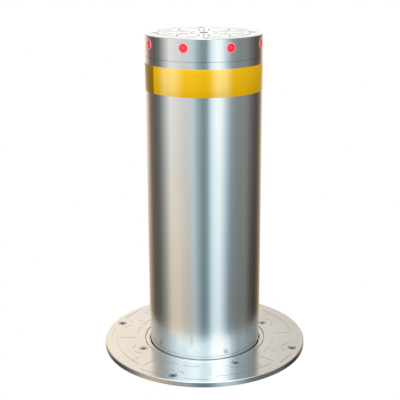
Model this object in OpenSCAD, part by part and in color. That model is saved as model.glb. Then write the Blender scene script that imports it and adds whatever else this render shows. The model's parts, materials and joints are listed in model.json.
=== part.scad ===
// Retractable bollard with an electro-hydraulic drive, drawn with the post raised.
// Frame: Z is the post's axis, up. Z = 0 is the finished ground, which is the underside of the cover flange.

/* [Post] */
// Outside diameter of the post tube
post_d = 219; // [200:1:280]
// Wall of the post tube
post_wall = 6; // [4:0.5:8]
// Height of the raised post above the cover flange
post_rise = 610; // [450:5:800]

/* [Lamp head] */
// Height of the head ring that holds the lamps
head_h = 40; // [34:1:60]
// Thickness of the gasket that shows as the seam under the head
seam_t = 0.5; // [0.5:0.5:3]
// Width of the head's rim around the top plate
rim_w = 8.5; // [6:0.5:12]
// Thickness of the engraved top plate
top_t = 8; // [6:1:12]
// Number of lamps around the head
lamp_count = 8; // [4:4:12]
// Diameter of a lamp lens
lamp_d = 14; // [8:0.5:15]
// Distance from the top of the head to the middle of the lamps
lamp_drop = 16; // [15:0.5:18]
// Angle of the first lamp
lamp_turn = 26.5; // [0:0.5:40]
// Diameter of the release key's barrel
key_d = 16; // [14:1:30]

/* [Reflective band] */
// Distance from the top of the head to the upper edge of the band
band_drop = 53; // [46:1:120]
// Height of the band
band_h = 50; // [30:1:100]
// Thickness of the band
band_t = 0.5; // [0.3:0.1:0.6]

/* [Cover flange] */
// Thickness of the cover flange
flange_t = 10; // [8:0.5:16]
// How far the cover flange reaches past the casing wall
flange_reach = 50.5; // [44:0.5:80]
// Gap between the post and the lip of the collar ring
collar_gap = 1.6; // [1.2:0.1:2.4]
// Width of the collar ring beside its seal
collar_w = 7; // [5:0.5:9]
// Angle of the first inner screw
screw_turn = 26.6; // [0:0.1:40]
// Nominal diameter of the flange screws
screw_d = 8; // [6:1:8]
// Width of an engraved line in the flange
groove_w = 1.2; // [1:0.1:2.5]
// Depth of an engraved line in the flange
groove_d = 0.5; // [0.3:0.1:1.5]
// Width of an engraved line in the top plate
top_groove_w = 2.2; // [1:0.1:3]
// Depth of an engraved line in the top plate
top_groove_d = 1.2; // [0.3:0.1:1.5]

/* [Casing] */
// Room between the post and the casing, on each side
casing_room = 34; // [34:0.5:50]
// Wall of the casing tube
casing_wall = 6; // [4:0.5:10]
// Thickness of the base plate
base_t = 12; // [10:1:20]
// Diameter of the anchor holes in the base plate
anchor_hole_d = 14; // [10:1:18]
// Bore of the drain socket
drain_d = 50; // [40:1:56]
// Bore of the conduit socket
conduit_d = 40; // [32:1:50]

/* [Guide] */
// Length of the guide housing
housing_h = 200; // [160:1:260]
// Height of a guide bush
bush_h = 46; // [30:1:60]
// Sliding clearance between the post and its bushes
slide_gap = 0.8; // [0.8:0.05:1.2]
// Thickness of the rubber stop cushion
cushion_t = 6; // [4:1:12]
// Thickness of the ring on the foot of the post
foot_t = 15; // [12:1:20]
// Diameter of a guide roller
roller_d = 30; // [24:1:32]
// Width of a guide roller
roller_w = 20; // [14:1:24]

/* [Drive] */
// Bore of the hydraulic cylinder
bore_d = 50; // [40:1:60]
// Diameter of the piston rod
rod_d = 28; // [20:1:32]
// Wall of the cylinder barrel
barrel_wall = 10; // [6:0.5:12]
// Length of the piston
piston_t = 30; // [20:1:40]
// Room for the pump unit between the load plate and the carrier plate
unit_h = 240; // [225:5:300]
// Outside diameter of the pump motor
motor_d = 72; // [60:1:76]
// Height of the pump motor
motor_h = 140; // [120:5:160]

/* [Hidden] */

$fn = 96;
over = 1;          // how far a cut runs past the face it opens
fit = 0.05;        // radial running clearance
near = 0.3;        // clearance between parts that pass each other
quarter = 90;      // most fixings come in fours

// Radii of the post, the head and what lines up around it
post_r = post_d / 2;
post_ir = post_r - post_wall;
head_ir = post_ir - 23.5;
spigot_gap = 0.2;
spigot_h = 14;
top_r = post_r - rim_w;
top_gap = 0.2;
head_bolt_d = 10;
head_bolt_r = (top_r + head_ir) / 2;
head_bolt_turn = lamp_turn + 180 / lamp_count;
top_screw_d = 6;
top_screw_turn = head_bolt_turn + 360 / lamp_count;

// Heights of the post, from the top down
travel = post_rise;
top_z = flange_t + post_rise;
head_z = top_z - head_h;
tube_top = head_z - seam_t;
lamp_z = top_z - lamp_drop;
load_t = 16;
load_top = head_z - spigot_h;
load_z = load_top - load_t;

// Collar, seal and cover flange
collar_ir = post_r + collar_gap;
seal_room = 3;
seal_r = post_r + seal_room;
collar_r = seal_r + collar_w;
collar_edge = 0.6;
joint_gap = 1.2;
collar_foot_w = 4.4;
collar_foot_t = 4;
seal_drop = 3;
seal_lip = 0.8;
seal_slope = 1.5;
casing_ir = post_r + casing_room;
casing_r = casing_ir + casing_wall;
flange_r = casing_r + flange_reach;
flange_edge = 1;
inner_screw_r = (collar_r + collar_foot_w + casing_ir) / 2 + 0.5;
outer_screw_r = flange_r - 18;
inner_screw_l = flange_t + 10;
gasket_t = 2;
casing_flange_t = 12;
casing_flange_lip = 10;
outer_screw_l = flange_t + gasket_t + casing_flange_t;
casing_top = -gasket_t;
screw_sink = 0.4;

// Guide housing, bushes and the foot of the post
housing_gap = 1;
housing_end_t = 14;
housing_wall = 8;
bush_wall = 12;
bush_ir = post_r + slide_gap;
bush_r = bush_ir + bush_wall;
stop_gap = 1;
foot_top = -(housing_h + cushion_t + stop_gap);
foot_z = foot_top - foot_t;
rail_t = 9.5;
rail_w = 40;
rail_front = casing_ir - rail_t;
rail_turn = 45;
foot_r = rail_front - 2;
roller_r = roller_d / 2;
roller_at = rail_front - near - roller_r;
roller_z = foot_z - 8 - roller_r;
roller_pin_d = 10;
cheek_t = 6;
cheek_gap = 0.5;
cheek_in = 2.3;    // how far a cheek reaches in under the post's wall
cheek_out = 11.5;  // how far a cheek reaches out past its pin
cheek_below = 12;

// Hydraulic cylinder, from the carrier plate down to the floor of the casing
carrier_t = 20;
carrier_top = load_z - unit_h;
carrier_z = carrier_top - carrier_t;
carrier_r = post_ir - 3.5;
bore_r = bore_d / 2;
rod_r = rod_d / 2;
barrel_r = bore_r + barrel_wall;
cyl_head_t = 25;
cyl_head_r = barrel_r + 19;
cyl_bolt_d = 10;
cyl_bolt_r = barrel_r + 9;
cyl_bolt_turn = 45;
chamber_top = carrier_z - cyl_head_t;
play_above = 10;
play_below = 5;
chamber_z = chamber_top - travel - piston_t - play_above - play_below;
gland_t = 40;
gland_z = chamber_z - gland_t;
piston_z = chamber_z + play_below;
piston_stud_r = 9;
eye_r = 18;
eye_w = 24;
eye_z = gland_z - travel - 40;
floor_z = eye_z - 30;
pin_d = 16;
ear_t = 14;
ear_gap = 0.5;
foot_plate = 110;
foot_plate_t = 12;
foot_bolt_d = 10;
foot_bolt_at = 42;

// Base, drain, buffers and conduit
base_z = floor_z - base_t;
base_r = casing_r + 35.5;
anchor_hole_r = casing_r + 18.5;
anchor_bar_d = 12;
anchor_bar_turn = 22.5;
drain_at = post_r - 9.5;
drain_wall = 5;
drain_l = 40;
buffer_d = 24;
buffer_at = post_r + 9.5;
buffer_turn = 22.5;
pad_t = 12;
pad_top = foot_z - travel - 1;
conduit_z = floor_z + 160;
conduit_wall = 5;
conduit_out = casing_r + 40;
conduit_stop = 3;  // wall between the casing and the conduit's bore
gland_thread_r = 12;

// Pump unit
hanger_d = 16;
hanger_stud_d = 12;
hanger_at = post_ir - 15.8;
hanger_turn = 45;
nut_t = 12;
block_h = 50;
pipe_in = 2;       // how far the pipe's middle lies inside the pump block's side
block_w = 2 * (cyl_bolt_r - pipe_in);
block_x = 88;
block_top = carrier_top + block_h;
motor_x = -50;
motor_wall = 4;
motor_cap_t = 12;
shaft_d = 12;
rotor_r = 22;
rotor_h = 80;
rotor_z = block_top + 28;
air_gap = 0.6;
tank_x = 12;
tank_w = 73;
tank_h = 165;
tank_wall = 3;
cap_x = tank_x + tank_w / 2;
pipe_d = 8;
pipe_y = -cyl_bolt_r;
port_r = 2;
spindle_d = 10;
spindle_z = carrier_top + 25;
key_h = 22;

// ---------- shapes that repeat ----------

// A ring with square edges between two radii and two heights
module ring(r_in, r_out, z0, z1) {
    rotate_extrude() translate([r_in, z0]) square([r_out - r_in, z1 - z0]);
}

// A straight shaft or hole between two heights
module rod(r, z0, z1) {
    translate([0, 0, z0]) cylinder(r = r, h = z1 - z0);
}

// Copies of the children around the axis
module around(count, turn, radius = 0) {
    for (i = [0 : count - 1]) rotate([0, 0, turn + i * 360 / count]) translate([radius, 0, 0]) children();
}

// A countersunk screw whose head lies just under the height z, with a six-sided socket
module countersunk(d, length, z) {
    difference() {
        union() {
            rod(d / 2, z - length, z - screw_sink);
            translate([0, 0, z - screw_sink - d / 2]) cylinder(r1 = d / 2, r2 = d, h = d / 2);
        }
        translate([0, 0, z - screw_sink - d * 0.4]) cylinder(r = d * 0.36, h = d, $fn = 6);
    }
}

// The clearance hole and cone that such a screw needs
module countersink(d, z_low, z) {
    rod(d / 2 + near, z_low - over, z + over);
    translate([0, 0, z - screw_sink - d / 2]) cylinder(r1 = d / 2 + near, r2 = d + near, h = d / 2);
    rod(d + near, z - screw_sink, z + over);
}

// A screw with a round head that stands on the height z, with a six-sided socket
module cap_screw(d, length, z) {
    difference() {
        union() {
            rod(d / 2, z - length, z);
            rod(d * 0.8, z, z + d);
        }
        translate([0, 0, z + d / 2]) cylinder(r = d * 0.45, h = d, $fn = 6);
    }
}

// ---------- engraved lines ----------

// A curved groove around the children's own axis
module arc_groove(r, a0, a1, z, w = groove_w, d = groove_d) {
    rotate_extrude(angle = a1 - a0, start = a0)
        translate([r - w / 2, z - d]) square([w, d + over]);
}

// A straight groove that points at the axis
module ray_groove(r0, r1, a, z, w = groove_w, d = groove_d) {
    rotate([0, 0, a]) translate([r0, -w / 2, z - d]) cube([r1 - r0, w, d + over]);
}

// The broken circle around one screw
module screw_halo(r_at, a, z) {
    rotate([0, 0, a]) translate([r_at, 0, 0]) {
        arc_groove(screw_d * 2.6, 120, 170, z);
        arc_groove(screw_d * 2.6, 190, 240, z);
    }
}

// Anti-slip lines of the cover flange, in cells between the screws
module flange_grooves() {
    z = flange_t;
    mid_r = (inner_screw_r + outer_screw_r) / 2;
    edge_r = outer_screw_r + 6;
    far_r = outer_screw_r - 5;
    near_r = inner_screw_r + 4;
    for (i = [0 : 3]) {
        a = screw_turn + i * quarter;
        b = a + quarter / 2;
        arc_groove(far_r, a - 19, a + 19, z);
        rotate([0, 0, a]) translate([inner_screw_r, 0, 0]) {
            arc_groove(screw_d * 2.6, -65, -15, z);
            arc_groove(screw_d * 2.6, 15, 65, z);
        }
        screw_halo(outer_screw_r, b, z);
        arc_groove(edge_r, b - 21, b - 8, z);
        arc_groove(edge_r, b + 8, b + 21, z);
        arc_groove(near_r, b - 15, b - 3, z);
        arc_groove(near_r, b + 2, b + 15, z);
        ray_groove(near_r + 4, far_r - 1, a - 22.5, z);
        ray_groove(near_r + 4, far_r - 1, a + 22.5, z);
        ray_groove(mid_r, far_r - 4, a + 12, z);
        ray_groove(near_r + 6, mid_r, b - 9, z);
    }
}

// Anti-slip lines of the top plate: a rim line, a broken inner ring and six lobes
module top_grooves() {
    z = top_z;
    w = top_groove_w;
    d = top_groove_d;
    lobe_at = top_r * 0.56;
    lobe_r = top_r * 0.2;
    arc_groove(top_r * 0.86, 8, 82, z, w, d);
    arc_groove(top_r * 0.86, 98, 172, z, w, d);
    arc_groove(top_r * 0.86, 188, 262, z, w, d);
    arc_groove(top_r * 0.86, 278, 352, z, w, d);
    for (i = [0 : 5]) {
        a = i * 60;
        arc_groove(top_r * 0.24, a + 8, a + 52, z, w, d);
        rotate([0, 0, a]) translate([lobe_at, 0, 0]) {
            arc_groove(lobe_r, 25, 155, z, w, d);
            arc_groove(lobe_r, 205, 335, z, w, d);
        }
        ray_groove(top_r * 0.3, top_r * 0.48, a + 30, z, w, d);
        ray_groove(top_r * 0.66, top_r * 0.8, a + 30, z, w, d);
    }
}

// ---------- cover and seal ----------

module cover_flange() color("gainsboro") difference() {
    rotate_extrude() polygon([
        [collar_r + joint_gap, flange_t], [collar_r + joint_gap, collar_foot_t + near / 2],
        [collar_r + collar_foot_w + near, collar_foot_t + near / 2], [collar_r + collar_foot_w + near, 0],
        [flange_r, 0], [flange_r, flange_t - flange_edge], [flange_r - flange_edge, flange_t]
    ]);
    around(4, screw_turn, inner_screw_r) countersink(screw_d, 0, flange_t);
    around(4, screw_turn + quarter / 2, outer_screw_r) countersink(screw_d, 0, flange_t);
    flange_grooves();
}

module flange_screws() color("dimgray") {
    around(4, screw_turn, inner_screw_r) countersunk(screw_d, inner_screw_l, flange_t);
    around(4, screw_turn + quarter / 2, outer_screw_r) countersunk(screw_d, outer_screw_l, flange_t);
}

module wiper_collar() color("silver") rotate_extrude() polygon([
    [seal_r, 0], [collar_r + collar_foot_w, 0], [collar_r + collar_foot_w, collar_foot_t],
    [collar_r, collar_foot_t], [collar_r, flange_t - collar_edge], [collar_r - collar_edge, flange_t],
    [collar_ir + collar_edge, flange_t], [collar_ir, flange_t - collar_edge],
    [collar_ir, flange_t - seal_drop], [seal_r, flange_t - seal_drop]
]);

module wiper_seal() color("black") rotate_extrude() polygon([
    [bush_ir, seal_slope], [bush_ir + seal_lip, 0], [seal_r, 0], [seal_r, flange_t - seal_drop],
    [bush_ir + seal_lip, flange_t - seal_drop], [bush_ir, flange_t - seal_drop - seal_slope]
]);

// ---------- guide housing ----------

module guide_housing() color("darkgray") difference() {
    union() {
        ring(post_r + 2, casing_ir - housing_gap, -housing_end_t, 0);
        ring(bush_r, bush_r + housing_wall, -housing_h + housing_end_t, -housing_end_t);
        ring(post_r + 2, casing_ir - housing_gap, -housing_h, -housing_h + housing_end_t);
    }
    around(4, screw_turn, inner_screw_r) rod(screw_d / 2, -housing_end_t - over, over);
}

module upper_guide_bush() color("ivory") ring(bush_ir, bush_r, -housing_end_t - bush_h, -housing_end_t);

module lower_guide_bush() color("ivory") {
    low = -housing_h + housing_end_t;
    ring(bush_ir, bush_r, low, low + bush_h);
}

module stop_cushion() color("black")
    ring(post_r + 2, casing_ir - housing_gap, -housing_h - cushion_t, -housing_h);

// ---------- casing ----------

module flange_gasket() color("black") difference() {
    ring(casing_ir, flange_r - casing_flange_lip, -gasket_t, 0);
    around(4, screw_turn + quarter / 2, outer_screw_r) rod(screw_d / 2 + near, -gasket_t - over, over);
}

module casing_top_flange() color("lightslategray") difference() {
    ring(casing_r, flange_r - casing_flange_lip, casing_top - casing_flange_t, casing_top);
    around(4, screw_turn + quarter / 2, outer_screw_r)
        rod(screw_d / 2, casing_top - casing_flange_t - over, over);
}

module casing_tube() color("lightslategray") difference() {
    ring(casing_ir, casing_r, floor_z, casing_top);
    translate([0, 0, conduit_z]) rotate([0, 90, 0]) cylinder(r = gland_thread_r, h = casing_r + over);
}

module casing_base() color("lightslategray") difference() {
    rod(base_r, base_z, floor_z);
    around(4, 0, anchor_hole_r) rod(anchor_hole_d / 2, base_z - over, floor_z + over);
    translate([0, -drain_at, 0]) rod(drain_d / 2 + drain_wall, base_z - over, floor_z + over);
    around(4, 45, foot_bolt_at * sqrt(2)) rod(foot_bolt_d / 2, floor_z - base_t + 2, floor_z + over);
}

module anchor_bars() color("sienna")
    around(8, anchor_bar_turn, anchor_hole_r) rod(anchor_bar_d / 2, floor_z, casing_top - casing_flange_t);

module guide_rails() color("silver") intersection() {
    around(4, rail_turn) translate([rail_front, -rail_w / 2, floor_z])
        cube([casing_room, rail_w, -housing_h - cushion_t - 4 - floor_z]);
    rod(casing_ir, floor_z, 0);
}

module buffer_columns() color("lightslategray")
    around(4, buffer_turn, buffer_at) rod(buffer_d / 2, floor_z, pad_top - pad_t);

module buffer_pads() color("black")
    around(4, buffer_turn, buffer_at) rod(buffer_d / 2, pad_top - pad_t, pad_top);

module drain_socket() color("dimgray") translate([0, -drain_at, 0])
    ring(drain_d / 2, drain_d / 2 + drain_wall, base_z - drain_l, floor_z);

module drain_strainer() color("silver") translate([0, -drain_at, 0]) difference() {
    rod(drain_d / 2 + 3, floor_z, floor_z + 3);
    around(6, 0, drain_d / 6) rod(3, floor_z - over, floor_z + 3 + over);
    around(12, 15, drain_d / 3) rod(3, floor_z - over, floor_z + 3 + over);
}

module conduit_socket() color("dimgray") difference() {
    translate([0, 0, conduit_z]) rotate([0, 90, 0]) difference() {
        cylinder(r = conduit_d / 2 + conduit_wall, h = conduit_out);
        cylinder(r = gland_thread_r, h = conduit_out);
        translate([0, 0, casing_r + conduit_stop]) cylinder(r = conduit_d / 2, h = conduit_out);
    }
    rod(casing_r, floor_z, casing_top);
}

module cable_gland() color("black") difference() {
    translate([0, 0, conduit_z]) rotate([0, 90, 0]) difference() {
        union() {
            translate([0, 0, casing_ir - 3]) cylinder(r = gland_thread_r, h = casing_wall + 3);
            translate([0, 0, casing_ir - 15]) cylinder(r = gland_thread_r + 6, h = 12, $fn = 6);
            translate([0, 0, casing_ir - 28]) cylinder(r = gland_thread_r, h = 14);
        }
        cylinder(r = gland_thread_r / 2, h = conduit_out);
    }
}

// ---------- rod foot ----------

module rod_foot() color("slategray") difference() {
    union() {
        translate([-foot_plate / 2, -foot_plate / 2, floor_z]) cube([foot_plate, foot_plate, foot_plate_t]);
        for (side = [-1, 1]) translate([side * (eye_w / 2 + ear_gap + ear_t / 2), 0, 0]) {
            translate([-ear_t / 2, -eye_r, floor_z + foot_plate_t])
                cube([ear_t, 2 * eye_r, eye_z - floor_z - foot_plate_t]);
            translate([-ear_t / 2, 0, eye_z]) rotate([0, 90, 0]) cylinder(r = eye_r, h = ear_t);
        }
    }
    translate([-foot_plate / 2, 0, eye_z]) rotate([0, 90, 0]) cylinder(r = pin_d / 2, h = foot_plate);
    around(4, 45, foot_bolt_at * sqrt(2)) rod(foot_bolt_d / 2, floor_z - over, floor_z + foot_plate_t + over);
}

module foot_bolts() color("dimgray") around(4, 45, foot_bolt_at * sqrt(2))
    cap_screw(foot_bolt_d, foot_plate_t + base_t - 2, floor_z + foot_plate_t);

module clevis_pin() color("silver") {
    out = eye_w / 2 + ear_gap + ear_t;
    translate([-out - 6, 0, eye_z]) rotate([0, 90, 0]) cylinder(r = pin_d / 2, h = 2 * out + 6);
    translate([out, 0, eye_z]) rotate([0, 90, 0]) cylinder(r = pin_d / 2 + 4, h = 5);
}

module piston_rod() color("whitesmoke") difference() {
    union() {
        rod(rod_r, eye_z + eye_r + 4, piston_z);
        rod(eye_w / 2, eye_z, eye_z + eye_r + 4);
        rod(piston_stud_r, piston_z, piston_z + piston_t);
        translate([-eye_w / 2, 0, eye_z]) rotate([0, 90, 0]) cylinder(r = eye_r, h = eye_w);
    }
    translate([-eye_w, 0, eye_z]) rotate([0, 90, 0]) cylinder(r = pin_d / 2, h = 2 * eye_w);
}

module piston() color("slategray") difference() {
    ring(piston_stud_r, bore_r - fit, piston_z, piston_z + piston_t);
    ring(bore_r - 3, bore_r + over, piston_z + 6, piston_z + 10);
    ring(bore_r - 3, bore_r + over, piston_z + piston_t - 10, piston_z + piston_t - 6);
}

module limit_switches() color("orange") intersection() {
    for (z = [foot_z - 5, foot_z - 5 - travel])
        translate([-casing_ir - over, -10, z - 15]) cube([casing_ir + over - rail_front, 20, 30]);
    rod(casing_ir, floor_z, 0);
}

// ---------- post ----------

module post_tube() color("silver") ring(post_ir, post_r, foot_z, tube_top);

module reflective_band() color("gold")
    ring(post_r, post_r + band_t, top_z - band_drop - band_h, top_z - band_drop);

module lamp_head() color("silver") difference() {
    rotate_extrude() polygon([
        [head_ir, load_top], [post_ir - spigot_gap, load_top], [post_ir - spigot_gap, head_z],
        [post_r, head_z], [post_r, top_z - 0.8], [post_r - 0.8, top_z], [top_r, top_z],
        [top_r, top_z - top_t], [head_ir, top_z - top_t]
    ]);
    around(lamp_count, lamp_turn) translate([0, 0, lamp_z]) rotate([0, 90, 0])
        cylinder(r = lamp_d / 2, h = post_r + over);
    around(4, head_bolt_turn, head_bolt_r) {
        rod(head_bolt_d / 2 + near, load_top - over, top_z);
        rod(head_bolt_d * 0.8 + near / 2, top_z - top_t - head_bolt_d - 2, top_z - over);
    }
    around(4, top_screw_turn, head_bolt_r) rod(top_screw_d / 2, top_z - top_t - 14, top_z - over);
}

module head_gasket() color("black") ring(post_ir, post_r - 0.6, tube_top, head_z);

module lamp_lenses() color("red") around(lamp_count, lamp_turn) translate([0, 0, lamp_z]) rotate([0, 90, 0])
    intersection() {
        lens_r = lamp_d / 2 - fit;
        bulge = band_t;
        curve = (lens_r * lens_r + bulge * bulge) / (2 * bulge);
        translate([0, 0, head_ir]) cylinder(r = lens_r, h = rim_w + casing_room);
        translate([0, 0, post_r + bulge - curve]) sphere(r = curve);
    }

module lamp_driver() color("darkgreen") ring(head_ir - 18, head_ir - 2, load_top, load_top + 14);

module top_plate() color("gainsboro") difference() {
    rod(top_r - top_gap, top_z - top_t, top_z);
    rod(key_d / 2 + fit, top_z - top_t - over, top_z + over);
    around(4, top_screw_turn, head_bolt_r) countersink(top_screw_d, top_z - top_t, top_z);
    top_grooves();
}

module top_plate_screws() color("dimgray")
    around(4, top_screw_turn, head_bolt_r) countersunk(top_screw_d, top_t + 12, top_z);

module load_plate() color("slategray") difference() {
    rod(post_ir, load_z, load_top);
    rod(spindle_d / 2 + fit, load_z - over, load_top + over);
    around(4, head_bolt_turn, head_bolt_r) rod(head_bolt_d / 2, load_z + 3, load_top + over);
}

module head_bolts() color("dimgray") {
    seat = top_z - top_t - head_bolt_d - 2;
    around(4, head_bolt_turn, head_bolt_r) cap_screw(head_bolt_d, seat - load_z - 4, seat);
}

module foot_ring() color("slategray") ring(post_r, foot_r, foot_z, foot_top);

module roller_brackets() color("slategray")
    around(4, rail_turn, roller_at) for (side = [-1, 1]) difference() {
    cheek_x = post_r - cheek_in - roller_at;
    cheek_y = side * (roller_w / 2 + cheek_gap + cheek_t / 2) - cheek_t / 2;
    translate([cheek_x, cheek_y, roller_z - cheek_below])
        cube([cheek_out - cheek_x, cheek_t, foot_z - roller_z + cheek_below]);
    translate([0, 0, roller_z]) rotate([90, 0, 0])
        cylinder(r = roller_pin_d / 2, h = 2 * rail_w, center = true);
}

module roller_pins() color("silver") around(4, rail_turn, roller_at) translate([0, 0, roller_z])
    rotate([90, 0, 0])
        cylinder(r = roller_pin_d / 2, h = roller_w + 2 * (cheek_gap + cheek_t) + 4, center = true);

module sensor_magnet() color("black") translate([-foot_r + 1, -8, foot_z - 10]) cube([13, 16, 10]);

// ---------- pump unit hung inside the post ----------

module hanger_rods() color("silver") around(4, hanger_turn, hanger_at) {
    rod(hanger_d / 2, carrier_top, load_z);
    rod(hanger_stud_d / 2, carrier_z - nut_t - 3, carrier_top);
}

module hanger_nuts() color("dimgray") around(4, hanger_turn, hanger_at) difference() {
    translate([0, 0, carrier_z - nut_t]) cylinder(r = hanger_stud_d * 0.88, h = nut_t, $fn = 6);
    rod(hanger_stud_d / 2, carrier_z - nut_t - over, carrier_z + over);
}

module carrier_plate() color("slategray") difference() {
    rod(carrier_r, carrier_z, carrier_top);
    around(4, hanger_turn, hanger_at) rod(hanger_stud_d / 2, carrier_z - over, carrier_top + over);
    around(4, cyl_bolt_turn, cyl_bolt_r) rod(cyl_bolt_d / 2, carrier_z - over, carrier_z + 15);
    rod(port_r * 2, carrier_z - over, carrier_top + over);
    translate([0, pipe_y, 0]) rod(pipe_d / 2, carrier_z - over, carrier_top + over);
}

module cylinder_head() color("slategray") difference() {
    rod(cyl_head_r, chamber_top, carrier_z);
    around(4, cyl_bolt_turn, cyl_bolt_r) rod(cyl_bolt_d / 2 + near, chamber_top - over, carrier_z + over);
    rod(port_r * 2, chamber_top - over, carrier_z + over);
    translate([0, pipe_y, 0]) rod(pipe_d / 2, chamber_top - over, carrier_z + over);
}

module cylinder_bolts() color("dimgray") around(4, cyl_bolt_turn, cyl_bolt_r)
    translate([0, 0, chamber_top]) mirror([0, 0, 1]) cap_screw(cyl_bolt_d, cyl_head_t + 14, 0);

module cylinder_barrel() color("darkslategray") difference() {
    ring(bore_r, barrel_r, chamber_z, chamber_top);
    translate([0, 0, chamber_z + play_below / 2]) rotate([90, 0, 0])
        cylinder(r = port_r, h = barrel_r + over);
}

module cylinder_gland() color("darkgray") ring(rod_r + fit, barrel_r, gland_z, chamber_z);

module breather_pipe() color("silver") difference() {
    union() {
        translate([0, pipe_y, 0]) rod(pipe_d / 2, chamber_z + play_below / 2, carrier_top);
        translate([0, pipe_y, chamber_z + play_below / 2]) sphere(r = pipe_d / 2);
        translate([0, 0, chamber_z + play_below / 2]) rotate([90, 0, 0])
            cylinder(r = pipe_d / 2, h = -pipe_y);
    }
    rod(barrel_r, gland_z, chamber_top);
}

module pump_block() color("darkslategray") difference() {
    translate([-block_x, -block_w / 2, carrier_top]) cube([2 * block_x, block_w, block_h]);
    translate([motor_x, 0, 0]) rod(shaft_d / 2 + fit, carrier_top + 15, block_top + over);
    rod(spindle_d / 2 + fit, spindle_z - 2, block_top + over);
    rod(port_r * 2, carrier_top - over, carrier_top + 12);
}

module motor_housing() color("steelblue") translate([motor_x, 0, 0]) difference() {
    rod(motor_d / 2, block_top, block_top + motor_h);
    rod(motor_d / 2 - motor_wall, block_top - over, block_top + motor_h - motor_cap_t);
    rod(shaft_d / 2 + fit, block_top, block_top + motor_h - motor_cap_t / 2);
}

module motor_stator() color("peru") translate([motor_x, 0, 0])
    ring(rotor_r + air_gap, motor_d / 2 - motor_wall, rotor_z - 4, rotor_z + rotor_h + 4);

module oil_tank() color("dimgray") difference() {
    translate([tank_x, -block_w / 2, block_top]) cube([tank_w, block_w, tank_h]);
    translate([tank_x + tank_wall, -block_w / 2 + tank_wall, block_top + tank_wall])
        cube([tank_w - 2 * tank_wall, block_w - 2 * tank_wall, tank_h - 2 * tank_wall]);
    translate([cap_x, 0, 0]) rod(8, block_top + tank_h / 2, block_top + tank_h + over);
}

module filler_cap() color("black") translate([cap_x, 0, 0]) {
    rod(8, block_top + tank_h - tank_wall, block_top + tank_h);
    rod(12, block_top + tank_h, block_top + tank_h + 8);
}

// ---------- pieces that turn ----------

module guide_roller(i) color("ivory") rotate([0, 0, rail_turn + i * quarter])
    translate([roller_at, 0, roller_z]) rotate([90, 0, 0]) difference() {
        cylinder(r = roller_r, h = roller_w, center = true);
        cylinder(r = roller_pin_d / 2 + fit, h = roller_w + 2 * over, center = true);
    }

module motor_rotor() color("silver") translate([motor_x, 0, 0]) {
    rod(shaft_d / 2, carrier_top + 17, block_top + motor_h - motor_cap_t / 2 - 1);
    rod(rotor_r, rotor_z, rotor_z + rotor_h);
}

module release_key() color("dimgray") difference() {
    union() {
        rod(key_d / 2, top_z - key_h, top_z - 1);
        rod(spindle_d / 2, spindle_z, top_z - key_h);
    }
    translate([-key_d / 3, -1.5, top_z - 6]) cube([key_d * 2 / 3, 3, 6]);
    rod(3, top_z - 9, top_z);
}

cover_flange();
flange_screws();
wiper_collar();
wiper_seal();
guide_housing();
upper_guide_bush();
lower_guide_bush();
stop_cushion();
flange_gasket();
casing_top_flange();
casing_tube();
casing_base();
anchor_bars();
guide_rails();
buffer_columns();
buffer_pads();
drain_socket();
drain_strainer();
conduit_socket();
cable_gland();
rod_foot();
foot_bolts();
clevis_pin();
piston_rod();
piston();
limit_switches();
post_tube();
reflective_band();
lamp_head();
head_gasket();
lamp_lenses();
lamp_driver();
top_plate();
top_plate_screws();
load_plate();
head_bolts();
foot_ring();
roller_brackets();
roller_pins();
sensor_magnet();
hanger_rods();
hanger_nuts();
carrier_plate();
cylinder_bolts();
cylinder_head();
cylinder_barrel();
cylinder_gland();
pump_block();
motor_housing();
motor_stator();
oil_tank();
filler_cap();
breather_pipe();
guide_roller(0);  // guide_roller_1
guide_roller(1);  // guide_roller_2
guide_roller(2);  // guide_roller_3
guide_roller(3);  // guide_roller_4
motor_rotor();
release_key();
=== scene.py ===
# %% [markdown]
# # A retractable bollard in satin stainless steel
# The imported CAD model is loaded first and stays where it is. It holds every part at its real place
# and size, so nothing here has to be measured again: each new piece takes its place from a CAD node.
# What this notebook adds is the look: the camera, a studio to reflect, the finishes, and the finer
# meshes that a working drawing leaves out, such as rounded edges, weld beads and ribbed bars.

# %% Load the frame
import json
import math

import bmesh
import bpy
from mathutils import Matrix, Vector


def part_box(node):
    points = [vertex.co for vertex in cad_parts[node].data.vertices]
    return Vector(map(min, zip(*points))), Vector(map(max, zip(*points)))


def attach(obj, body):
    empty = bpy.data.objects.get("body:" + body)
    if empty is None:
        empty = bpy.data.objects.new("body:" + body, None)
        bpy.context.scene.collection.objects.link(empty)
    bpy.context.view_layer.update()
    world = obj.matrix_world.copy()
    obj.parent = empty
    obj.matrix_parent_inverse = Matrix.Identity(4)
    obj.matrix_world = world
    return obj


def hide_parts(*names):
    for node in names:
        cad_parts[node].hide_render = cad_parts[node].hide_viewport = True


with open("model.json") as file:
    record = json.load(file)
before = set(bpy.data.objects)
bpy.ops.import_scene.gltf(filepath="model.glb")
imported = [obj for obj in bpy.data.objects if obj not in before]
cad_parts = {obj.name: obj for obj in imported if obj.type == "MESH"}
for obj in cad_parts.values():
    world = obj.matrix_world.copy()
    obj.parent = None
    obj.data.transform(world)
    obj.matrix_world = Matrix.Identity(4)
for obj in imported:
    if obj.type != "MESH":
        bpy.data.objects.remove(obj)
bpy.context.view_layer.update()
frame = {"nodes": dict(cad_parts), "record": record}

# %% [markdown]
# ## Where the main parts are
# Blender works in metres, and small details are easier to think of in millimetres, so one value
# turns one into the other. The heights and radii below come from the boxes of the CAD nodes. When
# the CAD changes, they change with it, and so does everything that is built on them.

# %% Measure the frame
MM = 0.001

flange_high, post_high, head_high = (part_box(node)[1] for node in ("cover_flange", "post_tube", "lamp_head"))
flange_radius = flange_high.x
post_radius = post_high.x
print(f"flange radius {flange_radius:.4f} m, post radius {post_radius:.4f} m, head top {head_high.z:.4f} m")

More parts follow.
